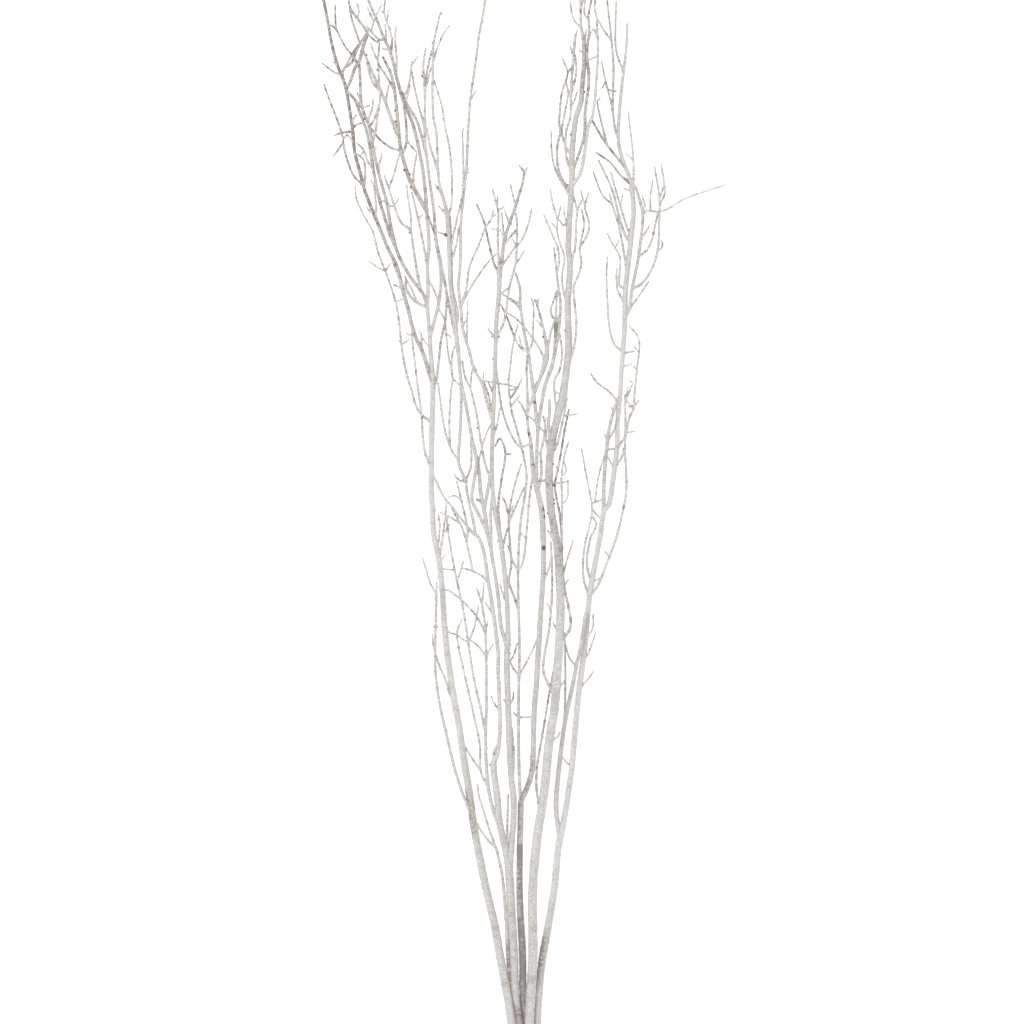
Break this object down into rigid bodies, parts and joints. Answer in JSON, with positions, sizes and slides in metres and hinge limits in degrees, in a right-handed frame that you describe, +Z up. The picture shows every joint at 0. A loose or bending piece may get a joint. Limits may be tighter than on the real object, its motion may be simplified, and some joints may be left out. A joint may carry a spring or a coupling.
{
  "type": "bunch of birch branches",
  "caption": "Long, white-painted dry birch stems, side shoots and fine twigs left on, tied together with twine near the cut ends and lying flat.",
  "frame": {"origin": "on the surface that the bunch lies on, under the middle of its bounding box", "axes": "+Y along the stems from the cut ends to the tips, +Z up from the surface, +X to the right of someone above the bunch with the tips ahead"},
  "size_m": [0.4872, 1.3712, 0.1412],
  "materials": {
    "painted_bark": "thin matt white paint over bark, browner on the fine twigs and at the knots",
    "shaded_bark": "thinner matt white paint over bark, with more of the bark showing",
    "twine": "matt undyed twine"
  },
  "bodies": {
    "root": {"stem_far_left": "painted_bark", "stem_left": "painted_bark", "stem_middle": "shaded_bark", "stem_right": "painted_bark", "stem_far_right": "painted_bark", "tie": "twine"}
  },
  "joints": []
}
